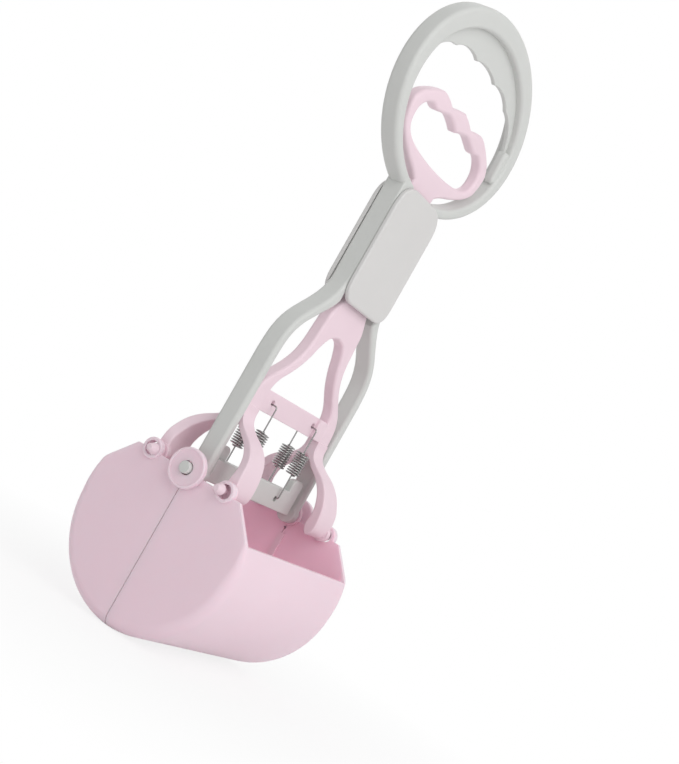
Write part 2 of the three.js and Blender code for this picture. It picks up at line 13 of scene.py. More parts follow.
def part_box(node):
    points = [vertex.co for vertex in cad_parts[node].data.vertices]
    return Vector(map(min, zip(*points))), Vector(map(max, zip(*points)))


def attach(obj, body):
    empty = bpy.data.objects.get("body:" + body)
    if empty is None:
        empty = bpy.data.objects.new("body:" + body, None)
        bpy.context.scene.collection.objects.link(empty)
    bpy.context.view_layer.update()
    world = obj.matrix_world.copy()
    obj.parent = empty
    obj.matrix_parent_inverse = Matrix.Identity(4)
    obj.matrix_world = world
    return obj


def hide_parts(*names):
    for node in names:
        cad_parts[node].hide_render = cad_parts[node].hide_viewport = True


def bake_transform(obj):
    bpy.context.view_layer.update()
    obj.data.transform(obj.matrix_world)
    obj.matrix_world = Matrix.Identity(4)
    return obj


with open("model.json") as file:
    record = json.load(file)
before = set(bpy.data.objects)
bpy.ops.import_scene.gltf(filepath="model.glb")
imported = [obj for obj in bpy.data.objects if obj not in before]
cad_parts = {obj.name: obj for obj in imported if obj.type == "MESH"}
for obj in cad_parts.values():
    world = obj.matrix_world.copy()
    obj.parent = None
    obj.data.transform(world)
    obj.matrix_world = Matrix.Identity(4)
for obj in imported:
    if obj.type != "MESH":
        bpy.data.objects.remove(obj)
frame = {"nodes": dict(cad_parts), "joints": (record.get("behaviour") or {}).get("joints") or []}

bl_info = {
    "name": "Sprung pet waste scooper",
    "version": (1, 0, 0),
    "blender": (4, 5, 0),
    "location": "3D View > Sidebar > Scooper",
    "description": "Dresses the scooper's moulded parts, its springs and a plain studio round them",
    "category": "Object",
}

# Lengths and places are in millimetres from the middle of the bucket's pivot axis, unless a name says
# otherwise. Outlines lie in Y-Z, or in X-Z for what is turned about Y.
MM = 0.001
PIVOT = Vector(next(j for j in frame["joints"] if j["name"] == "jaw_left_hinge")["pos_m"])
SPRINGS = [node for node in frame["nodes"] if node.startswith("spring_")]
GAP = 0.3  # between neighbouring pieces

# Ring grip
FRAME_HALF = 4.0  # half thickness of ring, neck and arms
RING_Z, RING_A, RING_B = 167.0, 55.0, 39.5  # middle, half width and half height
RIM_Z, RIM_A, RIM_B = 164.95, 47.8, 33.25  # inner edge of the rim
RING_EDGE, RIM_EDGE = 1.8, 1.5  # their rounding
WEB_HALF, WEB_EDGE = 1.0, 0.5
GRIP_Z, GRIP_A = 160.0, 47.2  # opening in the web
GRIP_TOP, GRIP_BOTTOM = 27.6, 28.3
GRIP_POWER = 2.6  # squareness of its upper half
GRIP_WAVE = 2.3  # depth of the finger waves
CREST_Y, CREST_STEP = 11.2, 19.8  # first crest, and from one to the next
CREST_SOFTNESS = 0.003  # above 0, so that no crest is a sharp point
PAD_Y, PAD_Z = 46.0, 164.4  # the pad on the front; the other is turned half way round, on the back
PAD_WIDTH, PAD_LENGTH, PAD_FACE = 4.6, 14.4, 3.3
PAD_R, PAD_EDGE = 2.2, 1.3
PAD_LEAN = 0.05  # radians

# Neck, arms and cross plate
NECK_HALF, NECK_TOP = 18.5, 131.2
SLOT_HALF, SLOT_LOW = 10.4, 94.0  # slot that guides the trigger
MOUTH_HALF, MOUTH_TOP, MOUTH_Z = 16.0, 89.0, 80.0  # where the trigger's fork leaves the neck
ARM_OUT, ARM_T, ARM_BEND_Z = 40.2, 4.0, 50.0
ARM_IN = ARM_OUT - ARM_T
ARM_EDGE, NECK_EDGE = 1.5, 0.6
SHOULDER_TOP = 92.0
ARM_EDGE_Z, NECK_EDGE_Z = SHOULDER_TOP - 6.0, SHOULDER_TOP + 4.0  # where each rounding is reached
SHOULDER_OUT_SHARES = [[0, 0], [.005, .06], [.033, .143], [.112, .238], [.29, .352], [.5, .457],
                       [.71, .564], [.869, .681], [.963, .821], [1, 1]]
SHOULDER_IN_SHARES = [[0, 0], [.133, .107], [.333, .227], [.533, .347], [.733, .473], [.886, .617],
                      [.971, .783], [1, 1]]
HUB_R, HUB_EDGE = 4.2, 0.6
PIN_R, PIN_END, PIN_EDGE = 2.3, 48.5, 0.5
PLATE_HALF, PLATE_LOW, PLATE_TOP, PLATE_R, PLATE_EDGE = 2.5, -1.3, 7.9, 1.0, 0.5
LUG_LOW, LUG_TOP, LUG_IN, LUG_OUT, LUG_R = 0.7, 13.2, 25.7, 34.2, 3.0
CORE_HALF = 1.0  # half thickness of the plate between a lug and its arm
HOOK_Y, HOOK_R = 18.0, 1.2  # spring holes
PLATE_HOOK_Z, BAR_HOOK_Z = 3.0, 35.0

# Cover plates
COVER_HALF, COVER_LOW, COVER_TOP, COVER_T = 18.8, 81.5, 131.5, 1.6
COVER_EDGE, COVER_R_LOW, COVER_R_TOP = 0.8, 8.0, 11.0  # rounded edges, and the corners' radii

# Trigger
TRIGGER_HALF = 2.6
LOOP_A, LOOP_FOOT, LOOP_TOP = 39.7, 132.0, 168.3
LOOP_EDGE, FORK_EDGE = 1.5, 1.2
FORK_EDGE_Z, LOOP_EDGE_Z = LOOP_FOOT - 6.0, LOOP_FOOT + 8.0  # where each rounding is reached
LOOP_OUT_SHARES = [[0, 1], [.126, .97], [.264, .928], [.403, .961], [.541, .978], [.678, .934],
                   [.818, .865], [.932, .788], [1, .672], [.972, .501], [.919, .402], [.781, .3],
                   [.579, .209], [.378, .135], [.267, .072]]
LOOP_HOLE_SHARES = [[0, .76], [.116, .802], [.264, .829], [.413, .793], [.529, .763], [.645, .782],
                    [.756, .741], [.836, .656], [.854, .551], [.821, .457], [.73, .391], [.579, .347],
                    [.378, .322], [.176, .309], [0, .306]]
STEM_HALF, FORK_TOP, FORK_OUT, FORK_IN = 10.0, 88.0, 35.6, 26.6
FORK_OUT_SHARES = [[0, 0], [.023, .088], [.176, .219], [.211, .316], [.25, .456], [.332, .561],
                   [.48, .649], [.67, .728], [.859, .807], [.969, .895], [1, 1]]
FORK_FOOT, CROTCH_Z, ROOT_Z = 36.0, 68.3, 27.0
FORK_IN_SHARES = [[1, 0], [.962, .139], [.876, .248], [.726, .365], [.579, .495], [.451, .65],
                  [.357, .805], [.218, .947], [0, 1]]
BAR_HALF, BAR_LOW, BAR_TOP, BAR_EDGE = 1.2, 30.4, 38.8, 0.3
BLOCK_Y, BLOCK_R, BLOCK_EDGE = 19.6, 1.0, 0.5  # the bar's thicker ends, each on one face
LEG_TOP, LEG_FOOT, LEG_OUT, LEG_TAPER = 31.0, -5.0, 41.6, 2.0
LEG_EDGE, LEG_EDGE_SHARE = 0.9, 0.45  # rounding, and its largest share of the thickness
STUB_X, STUB_Z, STUB_R = 16.18, -0.28, 1.2
COLLAR_R, COLLAR_OUT, COLLAR_EDGE = 3.6, 42.1, 0.4
HEAD_PROFILE = [(0, 2), (.2, 2.15), (.7, 2.15), (3.1, 1.45), (3.5, 1)]  # way out from the ear, and radius
LEG_UPPER_SHARES = [[-.06, 1], [.161, 1], [.167, .91], [.229, .806], [.408, .719], [.729, .616],
                    [.964, .49], [1.106, .323], [1.162, .145], [1.162, .006], [1.1, -.071], [1.03, -.099],
                    [1.001, -.103]]
LEG_LOWER_SHARES = [[-.1, .778], [0, .781], [.148, .729], [.297, .658], [.581, .548], [.779, .419],
                    [.884, .258], [.89, .135], [.859, .006], [.896, -.071], [.96, -.1], [.99, -.103]]
LEG_IN_SHARES = [[0, 0], [0, .42], [.4, .64], [1, 1]]
LEG_OUT_SHARES = [[0, 0], [0, .24], [.27, .39], [.667, .556], [1, .708], [1, 1]]

# Bucket halves
BUCKET_R, BUCKET_DROP, BUCKET_HALF, WALL = 37.5, 25.5, 44.3, 2.0
BUCKET_EDGE, CORNER_EDGE, LIP_EDGE = 4.5, 1.6, 0.45  # low down, at the lip's corners, on the lip
LIP_Z, SIDE_Z, SIDE_X = -12.8, -1.0, 24.5
DISC_R, DISC_OUT, DISC_DISH, DISC_RIM = 7.6, 2.9, 0.4, 0.8
DISC_EDGE, DISH_EDGE = 0.6, 0.45
TAB_R, TAB_T, TAB_EDGE = 4.8, 1.5, 0.4
PIN_ROOM = 0.4  # between a hub pin and its hole
NOTCH_R, NOTCH_Z = 0.7, -6.0  # small hole in the seam
LAP_T, LAP_IN, LAP_OVER, LAP_TOP = 0.7, 1.6, 1.0, -8.5  # strip behind the seam
LAP_SINK = 0.4  # how deep its root lies in the wall
EAR_X, EAR_Z, EAR_R, EAR_HOLE_R, EAR_OUT, EAR_EDGE = 17.6, -0.3, 4.0, 2.75, 1.3, 0.5

# Joining of shapes
SINK = 0.5  # how far one reaches into the next
WEB_SINK, SLOT_SINK = 1.5, 2.0  # the same for the web, and for the slot in the ring
SAME_PLACE = 1e-5  # points of a new shape that are closer than this become one
WELD = 0.005  # and points of a finished shape

# Smoothness
RING_STEPS = 160  # points round the ring
WALL_STEPS = 180  # points round the bucket
DISC_STEPS = 96
PIN_STEPS = 48
HEAD_STEPS, STUB_STEPS, NOTCH_STEPS = 36, 28, 20
LINE_STEPS = 6  # steps between two given points of an outline
LEG_STEPS = 44  # sections along a leg
CORNER_STEPS, COVER_STEPS = 8, 14  # steps in a rounded corner
EDGE_RINGS, WALL_RINGS = 5, 8  # steps in a rounded edge
LIP_RINGS = 3
SHARPEST = 0.4  # least divisor of a mitre, which keeps it short at a sharp corner
SHARP_ANGLE = math.radians(35.0)  # edges that turn by more than this stay sharp
BEVEL_ANGLE = math.radians(38.0)

# Looks. Scales are per metre, and lengths are in metres.
FLOW_SCALE, CLOUD_SCALE, GRAIN_SCALE, DRAWING_SCALE = 22.0, 160.0, 2600.0, 1500.0
FLOW_LOW, FLOW_GAIN = 0.35, 1.6  # of the flow marks' noise
FLOW_TINTS, DRAWING_TINTS = (0.975, 1.02), (0.85, 1.1)  # darkest and lightest
CLOUD_SHINE, GRAIN_SHINE, DRAWING_SHINE = 0.08, 0.06, 0.15  # how far each changes the roughness
GRAIN_HEIGHT, CLOUD_SHARE = 0.00004, 0.4  # height of the bump, and the clouds' share of it
PLASTIC_IOR = 1.46
LIGHT_REACH, LIGHT_SPREAD = 0.003, (1.0, 0.75, 0.8)  # how far light goes in, and its share by colour
STEEL_ROUGHNESS = 0.2


# Node graphs

class Signal:
    """An output socket that can stand in a sum. Each operator adds the Math node that it needs."""

    def __init__(self, graph, node, output=0):
        self.graph = graph
        self.node = node
        self.socket = node.outputs[output] if node.outputs else None

    def __getitem__(self, output):
        return Signal(self.graph, self.node, output)

    def math(self, operation, *values, clamp=False):
        return self.graph.node("ShaderNodeMath", {"operation": operation, "use_clamp": clamp},
                               dict(enumerate(values)))

    def __add__(self, other):
        return self.math("ADD", self, other)

    def __sub__(self, other):
        return self.math("SUBTRACT", self, other)

    def __mul__(self, other):
        return self.math("MULTIPLY", self, other)

    def __truediv__(self, other):
        return self.math("DIVIDE", self, other)

    def __rsub__(self, other):
        return self.math("SUBTRACT", other, self)

    __radd__ = __add__
    __rmul__ = __mul__

    def sin(self):
        return self.math("SINE", self)

    def cos(self):
        return self.math("COSINE", self)

    def root(self):
        return self.math("SQRT", self)

    def size(self):
        return self.math("ABSOLUTE", self)

    def at_least(self, other):
        return self.math("MAXIMUM", self, other)

    def clamped(self):
        return self.math("ADD", self, 0.0, clamp=True)

    def at_most(self, other):
        return self.math("MINIMUM", self, other)


class Graph:
    """A node tree under construction."""

    def __init__(self, tree):
        self.tree = tree

    def node(self, kind, settings=None, sockets=None):
        """Adds a node: its settings are set first, then its sockets get their values or links."""
        node = self.tree.nodes.new(kind)
        for name, value in (settings or {}).items():
            setattr(node, name, value)
        for name, value in (sockets or {}).items():
            self.feed(node.inputs[name], value)
        return Signal(self, node)

    def feed(self, socket, value):
        if isinstance(value, Signal):
            self.tree.links.new(value.socket, socket)
        else:
            socket.default_value = value

    def seen_directly(self):
        """1 for the camera's rays, also by a mirror or through glass, and 0 for all other light."""
        path = self.node("ShaderNodeLightPath")
        return (path["Is Camera Ray"] + path["Is Glossy Ray"] + path["Is Transmission Ray"]).clamped()


class Finish(Graph):
    """A material under construction, with its Principled shader at hand."""

    def __init__(self, name):
        self.material = bpy.data.materials.new(name)
        self.material.use_nodes = True
        super().__init__(self.material.node_tree)
        self.shader = self.tree.nodes["Principled BSDF"]
        self.place = self.node("ShaderNodeTexCoord")["Object"]

    def noise(self, scale, detail):
        return self.node("ShaderNodeTexNoise", {}, {
            "Vector": self.place, "Scale": scale, "Detail": detail, "Roughness": 0.5})

    def blend(self, factor, first, second):
        mix = self.node("ShaderNodeMix", {"data_type": "RGBA"}, {0: factor})
        self.feed(mix.node.inputs[6], first)
        self.feed(mix.node.inputs[7], second)
        return mix[2]

    def set(self, name, value):
        self.feed(self.shader.inputs[name], value)


def tint(colour, value):
    """The same colour, lighter or darker, with full alpha."""
    return (*[min(1.0, c * value) for c in colour], 1.0)


def moulded_plastic(name, colour, roughness, grain, depth=0.0, inside=None):
    """Satin injection-moulded plastic: slow flow marks in the colour, and an even, fine tool grain.
    `depth` is the share of light that goes into it, and `inside` a deeper colour painted on the bucket's
    inner faces as painted bounce light, for the light that the walls pass to each other inside."""
    finish = Finish(name)
    flow = finish.noise(FLOW_SCALE, detail=3.0)
    clouds = finish.noise(CLOUD_SCALE, detail=2.0)
    tool_grain = finish.noise(GRAIN_SCALE, detail=1.0)
    shade = finish.blend((flow - FLOW_LOW) * FLOW_GAIN, *(tint(colour, value) for value in FLOW_TINTS))
    if inside:
        # painted bounce light: a deeper pink on the inner faces stands in for the light the walls pass to
        # each other
        shade = finish.blend(painted_bounce_mask(finish), shade, tint(inside, 1.0))
    finish.set("Base Color", shade)
    finish.set("Roughness", roughness + (clouds - 0.5) * CLOUD_SHINE + (tool_grain - 0.5) * GRAIN_SHINE)
    bump = finish.node("ShaderNodeBump", {}, {
        "Strength": grain, "Distance": GRAIN_HEIGHT, "Height": tool_grain + clouds * CLOUD_SHARE})
    finish.set("Normal", bump["Normal"])
    finish.set("IOR", PLASTIC_IOR)
    finish.set("Subsurface Weight", depth)
    finish.set("Subsurface Radius", LIGHT_SPREAD)
    finish.set("Subsurface Scale", LIGHT_REACH)
    return finish.material


def painted_bounce_mask(finish):
    """1 on the inner side of the bucket's walls and 0 on the outer side: where the painted bounce light
    goes.
    """
    at = finish.node("ShaderNodeSeparateXYZ", {}, {0: finish.place})
    corner = (BUCKET_EDGE + WALL) / 2  # of the surface half way through the wall
    x, y, z = at[0], at[1], at[2] - (PIVOT.z - BUCKET_DROP * MM)
    out = (x * x + z * z).root() - (BUCKET_R - WALL / 2 - corner) * MM
    along = y.size() - (BUCKET_HALF - WALL / 2 - corner) * MM
    out, along = out.at_least(0.0), along.at_least(0.0)
    depth = (out * out + along * along).root() - corner * MM
    return (0.5 - depth / (WALL / 4 * MM)).clamped()


def spring_steel(name, colour, roughness):
    """Drawn wire: metal with fine drawing marks."""
    finish = Finish(name)
    marks = finish.noise(DRAWING_SCALE, detail=2.0)
    finish.set("Base Color", finish.blend(marks, *(tint(colour, value) for value in DRAWING_TINTS)))
    finish.set("Roughness", roughness + (marks - 0.5) * DRAWING_SHINE)
    finish.set("Metallic", 1.0)
    return finish.material


# User settings

def colour_property(name, description, default):
    return FloatVectorProperty(name=name, description=description, default=default,
                               subtype="COLOR", size=3, min=0.0, max=1.0)


class ScooperFinish(bpy.types.PropertyGroup):
    frame_colour: colour_property("Frame", "Plastic of the ring, neck and arms", (0.66, 0.67, 0.65))
    cover_colour: colour_property("Covers", "Plastic of the two neck covers", (0.70, 0.69, 0.68))
    trigger_colour: colour_property("Trigger", "Plastic of the trigger", (0.89, 0.71, 0.78))
    jaw_colour: colour_property("Bucket", "Plastic of the bucket halves", (0.91, 0.715, 0.793))
    # painted bounce light: the inner faces' deeper pink stands in for light that the walls pass to each
    # other
    inside_bounce_colour: colour_property("Bucket inside", "Painted bounce light, a deeper pink on the bucket's inner faces",
                                   (0.99, 0.67, 0.77))
    steel_colour: colour_property("Springs", "Wire of the springs", (0.32, 0.32, 0.315))
    roughness: FloatProperty(name="Roughness", description="Roughness of the plastic",
                             default=0.5, min=0.0, max=1.0, subtype="FACTOR")
    depth: FloatProperty(name="Depth", description="How far the bucket's plastic lets light through",
                         default=0.45, min=0.0, max=1.0, subtype="FACTOR")
    grain: FloatProperty(name="Grain", description="Strength of the mould's fine grain",
                         default=0.25, min=0.0, max=1.0, subtype="FACTOR")


class ScooperSprings(bpy.types.PropertyGroup):
    wire: FloatProperty(name="Wire", description="Diameter of the wire", default=0.0006,
                        min=0.0002, max=0.002, subtype="DISTANCE", unit="LENGTH", precision=4)
    coil: FloatProperty(name="Coil", description="Diameter of the coil, to the middle of the wire",
                        default=0.0051, min=0.002, max=0.02, subtype="DISTANCE", unit="LENGTH", precision=4)
    turns: IntProperty(name="Turns", description="Turns in the coil", default=10, min=2, max=40)


class ScooperStage(bpy.types.PropertyGroup):
    floor_colour: colour_property("Floor", "Colour of the floor", (0.9, 0.9, 0.9))
    ambient: FloatProperty(name="Ambient", description="Strength of the even light from all round",
                           default=0.5, min=0.0, max=5.0)
    key_power: FloatProperty(name="Key", description="Power of the large soft lamp", default=5.0,
                             min=0.0, max=200.0, subtype="POWER", unit="POWER")
    fill_power: FloatProperty(name="Fill", description="Power of the weaker lamp behind", default=1.5,
                              min=0.0, max=200.0, subtype="POWER", unit="POWER")


# Outlines

def ellipse(u, v, a, b, steps=RING_STEPS):
    turn = np.linspace(0.0, math.tau, steps, endpoint=False)
    return np.column_stack((u + a * np.cos(turn), v + b * np.sin(turn)))


def circle(u, v, radius, steps=PIN_STEPS):
    return ellipse(u, v, radius, radius, steps)


def between(start, end, shares):
    """Points from one place towards another, by shares of the way in either direction."""
    start, end = np.array(start, float), np.array(end, float)
    return start + np.array(shares, float) * (end - start)


def through(points, steps=LINE_STEPS):
    """A smooth line through the given points."""
    given = np.vstack((points[0], points, points[-1])).astype(float)
    t = np.linspace(0.0, 1.0, steps, endpoint=False)[:, None]
    spans = []
    for before, start, end, after in zip(given, given[1:], given[2:], given[3:]):
        leave, arrive = (end - before) / 2, (after - start) / 2
        spans.append((2 * (start - end) + leave + arrive) * t ** 3
                     + (3 * (end - start) - 2 * leave - arrive) * t ** 2 + leave * t + start)
    return np.vstack((*spans, given[-1]))


def rounded(corners, steps=CORNER_STEPS):
    """An outline through corners of (u, v, radius)."""
    points = []
    for i, (u, v, radius) in enumerate(corners):
        corner = np.array((u, v), float)
        ways = [np.array(corners[j % len(corners)][:2], float) - corner for j in (i - 1, i + 1)]
        start, end = (corner + way / np.linalg.norm(way) * radius for way in ways)
        if radius == 0.0:
            points.append(corner)
            continue
        for t in np.linspace(0.0, 1.0, steps + 1):
            points.append((1 - t) ** 2 * start + 2 * t * (1 - t) * corner + t * t * end)
    return np.array(points)


def rectangle(u0, u1, v0, v1, radius=0.0):
    return rounded([(u0, v0, radius), (u1, v0, radius), (u1, v1, radius), (u0, v1, radius)])


def edge_between(low, high, edge_low, edge_high):
    """A rounding that goes from one radius to another between two places on an outline's second axis."""
    return lambda points: np.interp(points[:, 1], (low, high), (edge_low, edge_high))


def both_halves(half):
    """A closed outline from its right half, whose first and last points lie on the middle line."""
    return np.vstack((half, half[-2:0:-1] * (-1.0, 1.0)))


# Solid shapes

def new_object(name, mesh):
    made = bpy.data.objects.new(name, mesh)
    bpy.context.scene.collection.objects.link(made)
    return made


def solid(vertices, faces):
    """A closed shape, with its faces turned outwards."""
    mesh = bpy.data.meshes.new("shape")
    mesh.from_pydata(np.asarray(vertices, float).tolist(), [], [[int(i) for i in face] for face in faces])
    shape = bmesh.new()
    shape.from_mesh(mesh)
    bmesh.ops.remove_doubles(shape, verts=shape.verts, dist=SAME_PLACE)
    bmesh.ops.recalc_face_normals(shape, faces=shape.faces)
    shape.to_mesh(mesh)
    shape.free()
    return new_object("shape", mesh)


def mitres(loop):
    """For each point of a closed loop, the way to its left that keeps both its edges parallel."""
    edges = np.roll(loop, -1, axis=0) - loop
    left = np.column_stack((-edges[:, 1], edges[:, 0])) / np.linalg.norm(edges, axis=1)[:, None]
    before = np.roll(left, 1, axis=0)
    return (before + left) / np.maximum(1.0 + (before * left).sum(axis=1), SHARPEST)[:, None]


def signed_area(loop):
    after = np.roll(loop, -1, axis=0)
    return (loop[:, 0] * after[:, 1] - loop[:, 1] * after[:, 0]).sum() / 2


def quads(base, ring, after, size):
    """The faces between a closed row of points and the next row, `size` points on."""
    return np.column_stack((base + ring, base + after, base + size + after, base + size + ring))


def plate(loops, low, high, axis="X", rings=EDGE_RINGS):
    """A plate from `low` to `high` on an axis. Each loop has its points and the radius of its rounded
    edges, as a number or a function of the points. The first is the outline, and the others are holes."""
    if axis == "Y":
        low, high = -high, -low
    vertices, faces, caps = [], [], []
    count = 0
    for number, (points, edge) in enumerate(loops):
        if (signed_area(points) > 0) != (number == 0):
            points = points[::-1]
        edge = (edge(points) if callable(edge) else np.full(len(points), edge, float))[:, None]
        turns = np.linspace(0.0, math.pi / 2, rings + 1) if edge.max() > 0 else [0.0]
        inward = mitres(points)
        layers = [(points + inward * edge * (1 - math.cos(turn)), low + edge * (1 - math.sin(turn)))
                  for turn in reversed(turns)]
        layers += [(points + inward * edge * (1 - math.cos(turn)), high - edge * (1 - math.sin(turn)))
                   for turn in turns]
        size = len(points)
        for place, depth in layers:
            vertices.append(np.column_stack((place, depth)))
        ring = np.arange(size)
        after = np.roll(ring, -1)
        for layer in range(len(layers) - 1):
            base = count + layer * size
            faces.extend(quads(base, ring, after, size))
        caps.append((layers[-1][0], count, count + (len(layers) - 1) * size))
        count += len(layers) * size
    triangles = tessellate_polygon([[Vector((*point, 0.0)) for point in loop] for loop, _, _ in caps])
    bottom = np.concatenate([start + np.arange(len(loop)) for loop, start, _ in caps])
    top = np.concatenate([start + np.arange(len(loop)) for loop, _, start in caps])
    flat = np.vstack([loop for loop, _, _ in caps])
    for triangle in triangles:
        corners = list(triangle)
        if signed_area(flat[corners]) < 0:
            corners.reverse()
        faces.append(top[corners])
        faces.append(bottom[corners[::-1]])
    u, v, w = np.vstack(vertices).T
    return solid(np.column_stack((w, u, v) if axis == "X" else (u, -w, v)), faces)


def pin(u, v, radius, low, high, axis="Y", edge=0.0, steps=PIN_STEPS):
    return plate([(circle(u, v, radius, steps), edge)], low, high, axis)


def loft(sections):
    """A closed tube through sections with as many points each."""
    size = len(sections[0])
    ring = np.arange(size)
    after = np.roll(ring, -1)
    faces = [face for base in range(0, (len(sections) - 1) * size, size)
             for face in quads(base, ring, after, size)]
    faces += [ring[::-1], (len(sections) - 1) * size + ring]
    return solid(np.vstack(sections), faces)


def bake(host):
    """Turns an object with modifiers into one with a plain mesh at the same place."""
    bpy.context.view_layer.update()
    graph = bpy.context.evaluated_depsgraph_get()
    mesh = bpy.data.meshes.new_from_object(host.evaluated_get(graph), depsgraph=graph)
    host.modifiers.clear()
    host.data = mesh
    return host


def combine(operation, base, tools):
    for tool in tools:
        modifier = base.modifiers.new(operation, "BOOLEAN")
        modifier.operation = operation
        modifier.solver = "MANIFOLD"
        modifier.object = tool
    bake(base)
    for tool in tools:
        bpy.data.objects.remove(tool)
    return base


def join(base, *tools):
    return combine("UNION", base, tools)


def cut(base, *tools):
    return combine("DIFFERENCE", base, tools)


def common(base, *tools):
    return combine("INTERSECT", base, tools)


def weld(mesh):
    """Takes out the slivers that cuts leave, by joining the points that are almost at one place."""
    shape = bmesh.new()
    shape.from_mesh(mesh)
    bmesh.ops.remove_doubles(shape, verts=shape.verts, dist=WELD)
    shape.to_mesh(mesh)
    shape.free()


def across(side, low, high):
    """A span on Y, on the side that is asked for."""
    return (low, high) if side > 0 else (-high, -low)


def finish_piece(piece, name, body, nodes, material, turn=0.0):
    """Puts a shape in its place, with smooth faces, its material and the nodes that it stands for."""
    piece.name = name
    weld(piece.data)
    piece.data.transform(Matrix.Translation(PIVOT) @ Matrix.Rotation(turn, 4, "Z") @ Matrix.Scale(MM, 4))
    piece.data.shade_smooth()
    piece.data.set_sharp_from_angle(angle=SHARP_ANGLE)
    weighted = piece.modifiers.new("even faces", "WEIGHTED_NORMAL")
    weighted.keep_sharp = True
    bake(piece)
    piece.data.name = name
    piece.data.materials.clear()
    piece.data.materials.append(material)
    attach(piece, body)
    for node in nodes:
        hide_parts(node)


# Springs

COIL_LOW = 14.2  # ends of the coil above the pivot
COIL_HIGH = 24.0
COIL_X = 3.75  # coil axis from the middle plane
HOOK_SEAT = 0.55  # wire's place in a hole, off its middle
HOOK_REACH = 3.0  # from the coil's axis to the wire's tip
HOOK_BEND = 1.0  # radius of the bend at each end
WIRE_POINTS, WIRE_SIDES = 620, 10
END_SHARE = 0.1  # of the points, in each straight end
BEND_START, BEND_END = 0.25, 0.6  # shares of a straight end's points


def spring_tree():
    """One wire: up out of a hole, round in a coil, and into the hole above."""
    tree = bpy.data.node_groups.new("spring wire", "GeometryNodeTree")
    for name in ("Wire radius", "Coil radius", "Bend radius", "Turns", "Foot", "Coil foot", "Coil head",
                 "Head", "Reach", "Axis"):
        tree.interface.new_socket(name, in_out="INPUT", socket_type="NodeSocketFloat")
    tree.interface.new_socket("Finish", in_out="INPUT", socket_type="NodeSocketMaterial")
    tree.interface.new_socket("Geometry", in_out="OUTPUT", socket_type="NodeSocketGeometry")
    graph = Graph(tree)
    given = graph.node("NodeGroupInput")
    line = graph.node("GeometryNodeCurvePrimitiveLine", {}, {"End": (0.0, 0.0, 1.0)})
    wire = graph.node("GeometryNodeResampleCurve", {}, {"Curve": line, "Count": WIRE_POINTS})
    along = graph.node("GeometryNodeSplineParameter")["Factor"]
    coil = ((along - END_SHARE) / (1.0 - 2.0 * END_SHARE)).clamped()
    foot = (along / END_SHARE).clamped()
    head = ((1.0 - along) / END_SHARE).clamped()
    ramp = ((coil * given["Turns"]) * 2.0).at_most((1.0 - coil) * given["Turns"] * 2.0).clamped()
    radius = given["Coil radius"] * ramp * (2.0 - ramp)
    angle = coil * given["Turns"] * math.tau
    bend_radius = given["Bend radius"]

    def out(end):
        """How far the wire is from the coil's axis: straight out of the hole, then round the bend."""
        straight = (end / BEND_START).clamped() * (given["Reach"] - bend_radius)
        return given["Reach"] - straight - bend_radius * bend(end).sin()

    def rise(end, height):
        """How far the wire has come from its hole towards the coil."""
        straight = ((end - BEND_END) / (1.0 - BEND_END)).clamped() * (height - bend_radius)
        return bend_radius * (1.0 - bend(end).cos()) + straight

    def bend(end):
        return ((end - BEND_START) / (BEND_END - BEND_START)).clamped() * (math.pi / 2)

    x = given["Axis"] + radius * angle.cos() - out(foot) - out(head)
    y = radius * angle.sin()
    z = (given["Foot"] + rise(foot, given["Coil foot"] - given["Foot"])
         + (given["Coil head"] - given["Coil foot"]) * coil
         + (given["Head"] - given["Coil head"]) - rise(head, given["Head"] - given["Coil head"]))
    place = graph.node("ShaderNodeCombineXYZ", {}, {"X": x, "Y": y, "Z": z})
    bent = graph.node("GeometryNodeSetPosition", {}, {"Geometry": wire, "Position": place})
    section = graph.node("GeometryNodeCurvePrimitiveCircle", {}, {
        "Resolution": WIRE_SIDES, "Radius": given["Wire radius"]})
    tube = graph.node("GeometryNodeCurveToMesh", {}, {
        "Curve": bent, "Profile Curve": section, "Fill Caps": True})
    real = graph.node("GeometryNodeRealizeInstances", {}, {"Geometry": tube})
    finished = graph.node("GeometryNodeSetMaterial", {}, {"Geometry": real, "Material": given["Finish"]})
    graph.node("NodeGroupOutput", {}, {"Geometry": finished})
    return tree


class SCOOPER_OT_springs(bpy.types.Operator):
    """Winds the four springs that pull the trigger back"""
    bl_idname = "scooper.springs"
    bl_label = "Springs"

    def execute(self, context):
        sizes = context.scene.scooper_springs
        steel = spring_steel("spring steel", context.scene.scooper_finish.steel_colour, STEEL_ROUGHNESS)
        tree = spring_tree()
        inputs = {
            "Wire radius": sizes.wire / 2, "Coil radius": sizes.coil / 2, "Turns": float(sizes.turns),
            "Bend radius": HOOK_BEND * MM, "Foot": (PLATE_HOOK_Z + HOOK_SEAT) * MM,
            "Coil foot": COIL_LOW * MM, "Coil head": COIL_HIGH * MM,
            "Head": (BAR_HOOK_Z - HOOK_SEAT) * MM, "Reach": HOOK_REACH * MM, "Axis": COIL_X * MM,
            "Finish": steel}
        for node in SPRINGS:
            low, high = ((corner - PIVOT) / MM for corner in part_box(node))
            spring = new_object(node + "_wire", bpy.data.meshes.new("wire"))
            modifier = spring.modifiers.new("wire", "NODES")
            modifier.node_group = tree
            for item in tree.interface.items_tree:
                if item.in_out == "INPUT":
                    modifier[item.identifier] = inputs[item.name]
            bake(spring)
            turn = Matrix.Rotation(math.pi if high.x < COIL_X else 0.0, 4, "Z")
            middle = Vector((0.0, (low.y + high.y) / 2 * MM, 0.0))
            spring.data.transform(Matrix.Translation(PIVOT + middle) @ turn)
            spring.data.polygons.foreach_set("use_smooth", [True] * len(spring.data.polygons))
            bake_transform(spring)
            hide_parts(node)
        return {"FINISHED"}


# Frame

